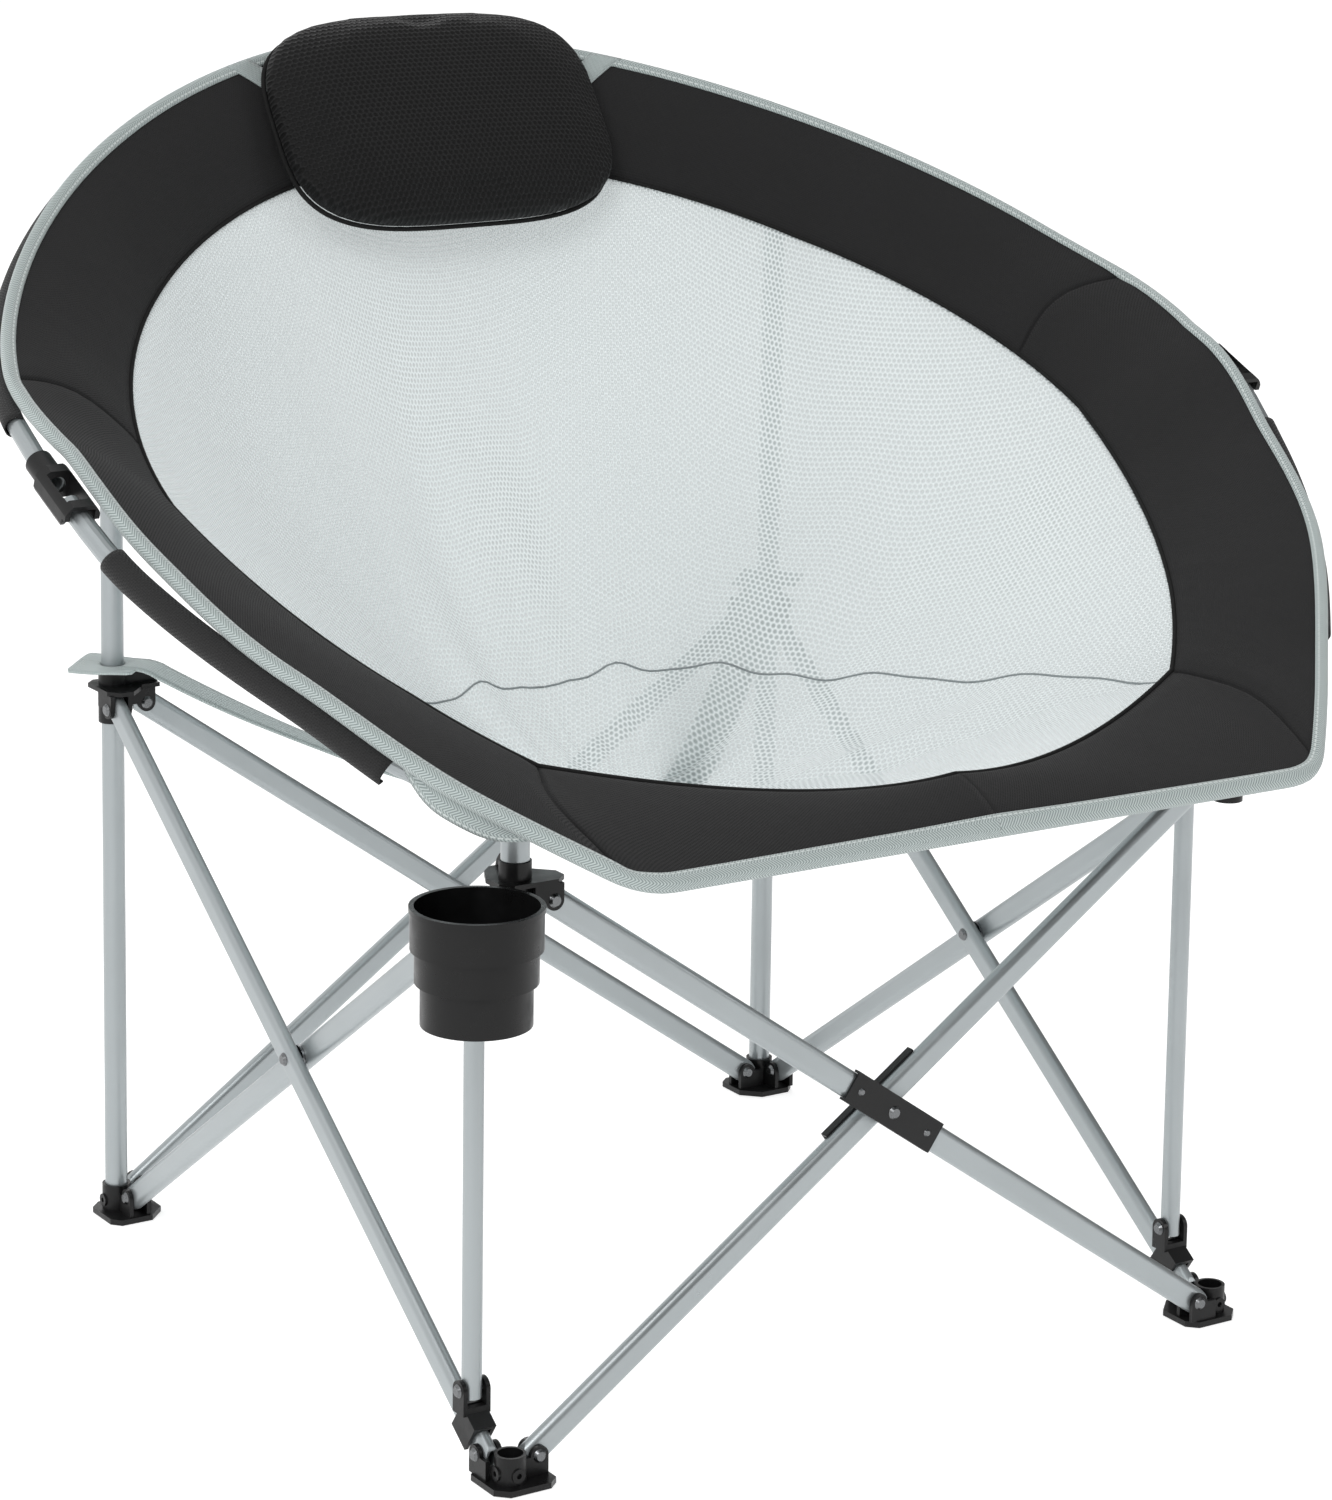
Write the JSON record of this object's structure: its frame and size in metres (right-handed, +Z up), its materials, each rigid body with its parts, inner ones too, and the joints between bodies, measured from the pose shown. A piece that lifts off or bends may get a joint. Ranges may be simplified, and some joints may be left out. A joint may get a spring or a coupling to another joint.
{
  "type": "folding bucket camp chair",
  "caption": "Folding camp chair with a round padded bucket seat of mesh on a tilted rim, a scissor frame, rear posts, pillow and cup holder.",
  "frame": {"origin": "centre of the overall box at the ground, under the seat", "axes": "+Z up, +Y to the back of the chair, +X to the sitter's left; the cup holder is on the sitter's right"},
  "size_m": [0.9478, 0.8089, 0.8475],
  "materials": {
    "tube_paint": "satin",
    "black_plastic": "satin",
    "cup_plastic": "satin",
    "plate_plastic": "satin",
    "rivet_steel": "satin",
    "band_cloth": "matte",
    "sleeve_cloth": "matte",
    "webbing": "matte",
    "seat_mesh": "matte",
    "pillow_mesh": "matte"
  },
  "bodies": {
    "rear_left_leg": {"foot_rear_left": "black_plastic", "post_rear_left": "tube_paint", "post_head_left": "black_plastic"},
    "left_rising": {"left_rising_tube": "tube_paint", "rivets_left_rising": "rivet_steel"},
    "left_falling": {"left_falling_tube": "tube_paint", "rivets_left_falling": "rivet_steel"},
    "rear_left_hub": {"hub_rear_left": "black_plastic", "strap_left": "webbing"},
    "front_left_foot": {"foot_front_left": "black_plastic"},
    "front_left_hub": {"hub_front_left": "black_plastic", "upright_front_left": "tube_paint", "seat_rest_left": "black_plastic"},
    "back_falling": {"back_falling_tube": "tube_paint", "rivets_back_falling": "rivet_steel"},
    "back_rising": {"back_rising_tube": "tube_paint", "rivets_back_rising": "rivet_steel"},
    "rear_right_leg": {"foot_rear_right": "black_plastic", "post_rear_right": "tube_paint", "post_head_right": "black_plastic"},
    "rear_right_hub": {"hub_rear_right": "black_plastic", "strap_right": "webbing"},
    "right_falling": {"right_falling_tube": "tube_paint", "rivets_right_falling": "rivet_steel"},
    "right_rising": {"right_rising_tube": "tube_paint", "rivets_right_rising": "rivet_steel"},
    "front_right_hub": {"hub_front_right": "black_plastic", "upright_front_right": "tube_paint", "seat_rest_right": "black_plastic"},
    "front_right_foot": {"foot_front_right": "black_plastic"},
    "front_rising": {"front_rising_tube": "tube_paint", "rivets_front_rising": "rivet_steel", "plate_front_rising": "plate_plastic"},
    "front_falling": {"front_falling_tube": "tube_paint", "rivets_front_falling": "rivet_steel", "plate_front_falling": "plate_plastic"},
    "left_strut": {"strut_left": "tube_paint", "strut_rivets_left": "rivet_steel", "cup_holder": "cup_plastic"},
    "left_saddle": {"saddle_left": "black_plastic"},
    "right_strut": {"strut_right": "tube_paint", "strut_rivets_right": "rivet_steel"},
    "right_saddle": {"saddle_right": "black_plastic"},
    "left_arc": {"rim_back_left": "tube_paint", "rim_lug_left": "black_plastic", "elbow_left": "black_plastic", "band_left": "band_cloth", "binding_left": "webbing", "mesh_left": "seat_mesh", "pillow": "pillow_mesh"},
    "left_side": {"rim_side_left": "tube_paint", "sleeve_left": "sleeve_cloth"},
    "right_arc": {"rim_back_right": "tube_paint", "rim_lug_right": "black_plastic", "elbow_right": "black_plastic", "band_right": "band_cloth", "binding_right": "webbing", "mesh_right": "seat_mesh"},
    "right_side": {"rim_side_right": "tube_paint", "sleeve_right": "sleeve_cloth"}
  },
  "joints": [
    {"name": "fold", "type": "hinge", "parent": "rear_left_leg", "child": "left_rising", "pos_m": [-0.272, 0.258, 0.017], "axis": [-1, 0, 0], "range_deg": [0, 43], "deforming": ["band_left", "band_right", "binding_left", "binding_right", "mesh_left", "mesh_right", "pillow", "strap_left", "strap_right"]},
    {"name": "left_cross", "type": "hinge", "parent": "left_rising", "child": "left_falling", "pos_m": [-0.278, 0, 0.19775], "axis": [-1, 0, 0], "range_deg": [-86, 0]},
    {"name": "rear_left_hub_pivot", "type": "hinge", "parent": "left_falling", "child": "rear_left_hub", "pos_m": [-0.284, 0.258, 0.3785], "axis": [-1, 0, 0], "range_deg": [0, 43]},
    {"name": "front_left_foot_pivot", "type": "hinge", "parent": "left_falling", "child": "front_left_foot", "pos_m": [-0.284, -0.258, 0.017], "axis": [-1, 0, 0], "range_deg": [0, 43]},
    {"name": "front_left_hub_pivot", "type": "hinge", "parent": "left_rising", "child": "front_left_hub", "pos_m": [-0.272, -0.258, 0.3785], "axis": [-1, 0, 0], "range_deg": [-43, 0]},
    {"name": "rear_left_foot_pivot", "type": "hinge", "parent": "rear_left_leg", "child": "back_falling", "pos_m": [-0.258, 0.284, 0.017], "axis": [0, -1, 0], "range_deg": [0, 43]},
    {"name": "back_cross", "type": "hinge", "parent": "back_falling", "child": "back_rising", "pos_m": [0, 0.278, 0.19775], "axis": [0, -1, 0], "range_deg": [-86, 0]},
    {"name": "rear_right_foot_pivot", "type": "hinge", "parent": "back_rising", "child": "rear_right_leg", "pos_m": [0.258, 0.272, 0.017], "axis": [0, -1, 0], "range_deg": [0, 43]},
    {"name": "rear_right_hub_pivot", "type": "hinge", "parent": "back_falling", "child": "rear_right_hub", "pos_m": [0.258, 0.284, 0.3785], "axis": [0, -1, 0], "range_deg": [-43, 0]},
    {"name": "rear_right_side_pivot", "type": "hinge", "parent": "rear_right_leg", "child": "right_falling", "pos_m": [0.284, 0.258, 0.017], "axis": [-1, 0, 0], "range_deg": [0, 43]},
    {"name": "right_cross", "type": "hinge", "parent": "right_falling", "child": "right_rising", "pos_m": [0.278, 0, 0.19775], "axis": [-1, 0, 0], "range_deg": [-86, 0]},
    {"name": "front_right_hub_pivot", "type": "hinge", "parent": "right_falling", "child": "front_right_hub", "pos_m": [0.284, -0.258, 0.3785], "axis": [-1, 0, 0], "range_deg": [-43, 0]},
    {"name": "front_right_foot_pivot", "type": "hinge", "parent": "right_rising", "child": "front_right_foot", "pos_m": [0.272, -0.258, 0.017], "axis": [-1, 0, 0], "range_deg": [0, 43]},
    {"name": "front_left_side_pivot", "type": "hinge", "parent": "front_left_foot", "child": "front_rising", "pos_m": [-0.258, -0.272, 0.017], "axis": [0, -1, 0], "range_deg": [0, 43]},
    {"name": "front_cross", "type": "hinge", "parent": "front_rising", "child": "front_falling", "pos_m": [0, -0.278, 0.19775], "axis": [0, -1, 0], "range_deg": [-86, 0]},
    {"name": "left_strut_pivot", "type": "hinge", "parent": "left_rising", "child": "left_strut", "pos_m": [-0.2844, -0.241, 0.36659], "axis": [-1, 0, 0], "range_deg": [-43, 0]},
    {"name": "left_saddle_pivot", "type": "hinge", "parent": "left_strut", "child": "left_saddle", "pos_m": [-0.2844, -0.241, 0.05291], "axis": [-1, 0, 0], "range_deg": [0, 43]},
    {"name": "right_strut_pivot", "type": "hinge", "parent": "right_falling", "child": "right_strut", "pos_m": [0.2716, -0.241, 0.36659], "axis": [-1, 0, 0], "range_deg": [-43, 0]},
    {"name": "right_saddle_pivot", "type": "hinge", "parent": "right_strut", "child": "right_saddle", "pos_m": [0.2716, -0.241, 0.05291], "axis": [-1, 0, 0], "range_deg": [0, 43]},
    {"name": "left_arc_pivot", "type": "hinge", "parent": "rear_left_leg", "child": "left_arc", "pos_m": [-0.278, 0.29714, 0.73611], "axis": [-1, 0, 0], "range_deg": [0, 86]},
    {"name": "left_elbow", "type": "hinge", "parent": "left_arc", "child": "left_side", "pos_m": [-0.46257, -0.05051, 0.59712], "axis": [-1, 0, 0], "range_deg": [-107.5, 0]},
    {"name": "right_arc_pivot", "type": "hinge", "parent": "rear_right_leg", "child": "right_arc", "pos_m": [0.278, 0.29714, 0.73611], "axis": [-1, 0, 0], "range_deg": [0, 86]},
    {"name": "right_elbow", "type": "hinge", "parent": "right_arc", "child": "right_side", "pos_m": [0.46257, -0.05051, 0.59712], "axis": [-1, 0, 0], "range_deg": [-107.5, 0]}
  ],
  "couplings": [
    {"joint": "left_cross", "follows": "fold", "ratio": -2},
    {"joint": "rear_left_hub_pivot", "follows": "fold", "ratio": 1},
    {"joint": "front_left_foot_pivot", "follows": "fold", "ratio": 1},
    {"joint": "front_left_hub_pivot", "follows": "fold", "ratio": -1},
    {"joint": "rear_left_foot_pivot", "follows": "fold", "ratio": 1},
    {"joint": "back_cross", "follows": "fold", "ratio": -2},
    {"joint": "rear_right_foot_pivot", "follows": "fold", "ratio": 1},
    {"joint": "rear_right_hub_pivot", "follows": "fold", "ratio": -1},
    {"joint": "rear_right_side_pivot", "follows": "fold", "ratio": 1},
    {"joint": "right_cross", "follows": "fold", "ratio": -2},
    {"joint": "front_right_hub_pivot", "follows": "fold", "ratio": -1},
    {"joint": "front_right_foot_pivot", "follows": "fold", "ratio": 1},
    {"joint": "front_left_side_pivot", "follows": "fold", "ratio": 1},
    {"joint": "front_cross", "follows": "fold", "ratio": -2},
    {"joint": "left_strut_pivot", "follows": "fold", "ratio": -1},
    {"joint": "left_saddle_pivot", "follows": "fold", "ratio": 1},
    {"joint": "right_strut_pivot", "follows": "fold", "ratio": -1},
    {"joint": "right_saddle_pivot", "follows": "fold", "ratio": 1},
    {"joint": "left_arc_pivot", "follows": "fold", "ratio": 2},
    {"joint": "left_elbow", "follows": "fold", "ratio": -2.5},
    {"joint": "right_arc_pivot", "follows": "fold", "ratio": 2},
    {"joint": "right_elbow", "follows": "fold", "ratio": -2.5}
  ]
}
